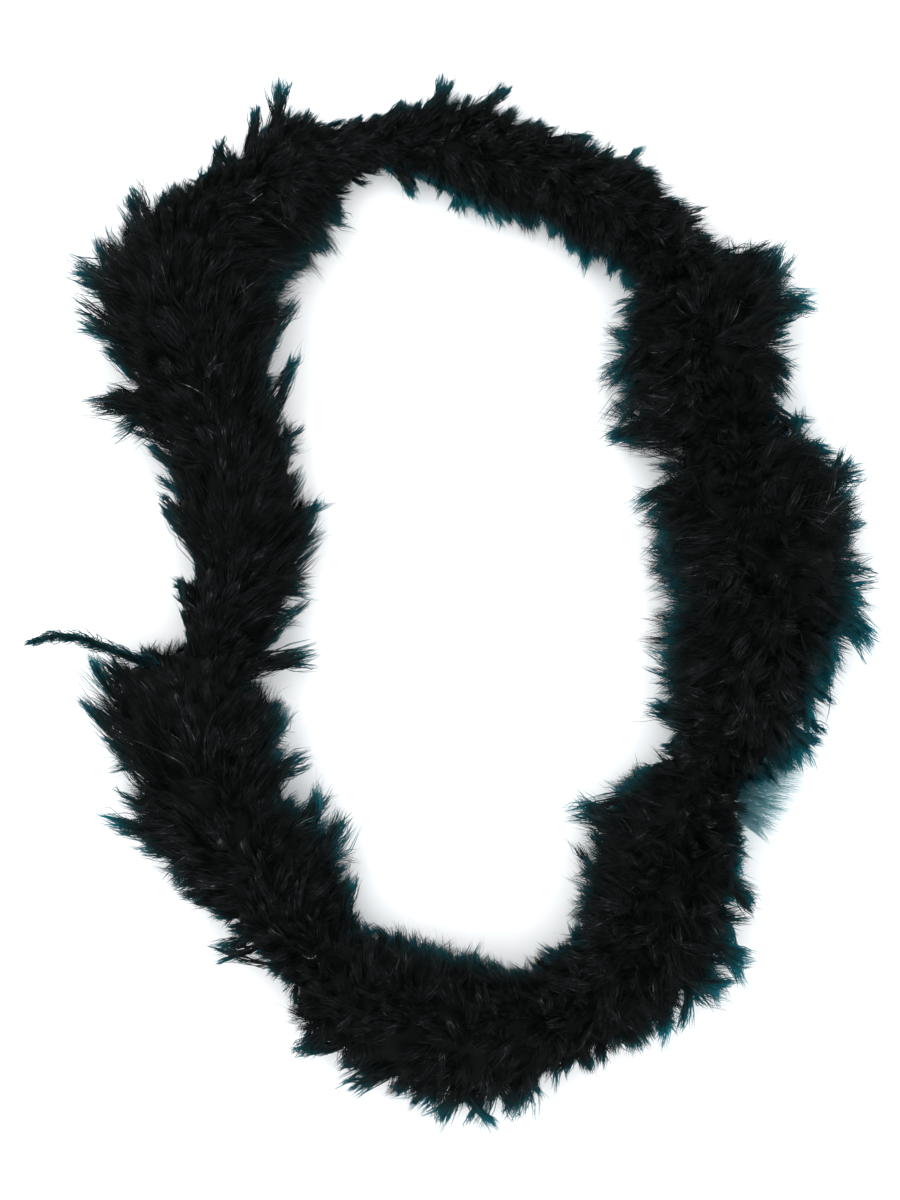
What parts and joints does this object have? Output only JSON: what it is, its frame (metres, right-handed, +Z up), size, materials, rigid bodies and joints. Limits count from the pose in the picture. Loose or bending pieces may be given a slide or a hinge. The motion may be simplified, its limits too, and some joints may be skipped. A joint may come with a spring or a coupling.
{
  "type": "feather boa",
  "caption": "Soft black marabou feather boa: downy plumes bound along a cord that bends at hinges, lying in a closed oval loop.",
  "frame": {"origin": "on the surface that the boa lies on, under the middle of its box", "axes": "+Z up, +Y the loop's long way towards the join of its ends, +X to the right seen from above"},
  "size_m": [0.6699, 0.818, 0.1011],
  "materials": {
    "down": "soft matt black marabou down, dark teal where its tips are thin",
    "quill": "black dyed plume on a slender quill",
    "cord": "black twisted cotton cord",
    "thread": "black sewing thread in close turns"
  },
  "bodies": {
    "section_01": {"core_cord_01": "cord", "quill_binding_01": "thread", "plumes_01": "down", "end_knot_a": "cord", "end_whipping_a": "thread"},
    "section_02": {"core_cord_02": "cord", "quill_binding_02": "thread", "plumes_02": "down"},
    "section_03": {"core_cord_03": "cord", "quill_binding_03": "thread", "plumes_03": "down"},
    "section_04": {"core_cord_04": "cord", "quill_binding_04": "thread", "plumes_04": "down"},
    "section_05": {"core_cord_05": "cord", "quill_binding_05": "thread", "plumes_05": "down"},
    "section_06": {"core_cord_06": "cord", "quill_binding_06": "thread", "plumes_06": "down"},
    "section_07": {"core_cord_07": "cord", "quill_binding_07": "thread", "plumes_07": "down"},
    "section_08": {"core_cord_08": "cord", "quill_binding_08": "thread", "plumes_08": "down"},
    "section_09": {"core_cord_09": "cord", "quill_binding_09": "thread", "plumes_09": "down"},
    "section_10": {"core_cord_10": "cord", "quill_binding_10": "thread", "plumes_10": "down"},
    "section_11": {"core_cord_11": "cord", "quill_binding_11": "thread", "plumes_11": "down", "stray_plume": "quill"},
    "section_12": {"core_cord_12": "cord", "quill_binding_12": "thread", "plumes_12": "down"},
    "section_13": {"core_cord_13": "cord", "quill_binding_13": "thread", "plumes_13": "down"},
    "section_14": {"core_cord_14": "cord", "quill_binding_14": "thread", "plumes_14": "down", "end_knot_b": "cord", "end_whipping_b": "thread"}
  },
  "joints": [
    {"name": "bend_07", "type": "hinge", "parent": "section_08", "child": "section_07", "pos_m": [0.0345, -0.3398, 0.0354], "axis": [0, 0, -1], "range_deg": [0, 45]},
    {"name": "bend_06", "type": "hinge", "parent": "section_07", "child": "section_06", "pos_m": [0.1528, -0.2625, 0.0404], "axis": [0, 0, -1], "range_deg": [0, 45]},
    {"name": "lift_05", "type": "hinge", "parent": "section_06", "child": "section_05", "pos_m": [0.2073, -0.1362, 0.0289], "axis": [0.8988, -0.4384, 0], "range_deg": [0, 45]},
    {"name": "bend_04", "type": "hinge", "parent": "section_05", "child": "section_04", "pos_m": [0.2498, -0.0055, 0.0469], "axis": [0, 0, -1], "range_deg": [0, 45]},
    {"name": "lift_03", "type": "hinge", "parent": "section_04", "child": "section_03", "pos_m": [0.2147, 0.1333, 0.0335], "axis": [0.9718, 0.236, 0], "range_deg": [0, 45]},
    {"name": "bend_02", "type": "hinge", "parent": "section_03", "child": "section_02", "pos_m": [0.1722, 0.2675, 0.0294], "axis": [0, 0, -1], "range_deg": [0, 45]},
    {"name": "bend_01", "type": "hinge", "parent": "section_02", "child": "section_01", "pos_m": [0.0723, 0.3393, 0.0262], "axis": [0, 0, -1], "range_deg": [0, 45]},
    {"name": "bend_08", "type": "hinge", "parent": "section_08", "child": "section_09", "pos_m": [-0.1043, -0.2875, 0.0266], "axis": [0, 0, 1], "range_deg": [0, 45]},
    {"name": "bend_09", "type": "hinge", "parent": "section_09", "child": "section_10", "pos_m": [-0.1743, -0.1782, 0.034], "axis": [0, 0, 1], "range_deg": [0, 45]},
    {"name": "lift_10", "type": "hinge", "parent": "section_10", "child": "section_11", "pos_m": [-0.192, -0.0448, 0.0257], "axis": [0.9783, -0.2073, 0], "range_deg": [0, 45]},
    {"name": "lift_11", "type": "hinge", "parent": "section_11", "child": "section_12", "pos_m": [-0.1753, 0.1115, 0.0321], "axis": [0.9814, 0.1921, 0], "range_deg": [0, 45]},
    {"name": "bend_12", "type": "hinge", "parent": "section_12", "child": "section_13", "pos_m": [-0.2072, 0.234, 0.0413], "axis": [0, 0, 1], "range_deg": [0, 45]},
    {"name": "bend_13", "type": "hinge", "parent": "section_13", "child": "section_14", "pos_m": [-0.1698, 0.321, 0.0317], "axis": [0, 0, 1], "range_deg": [0, 45]}
  ]
}
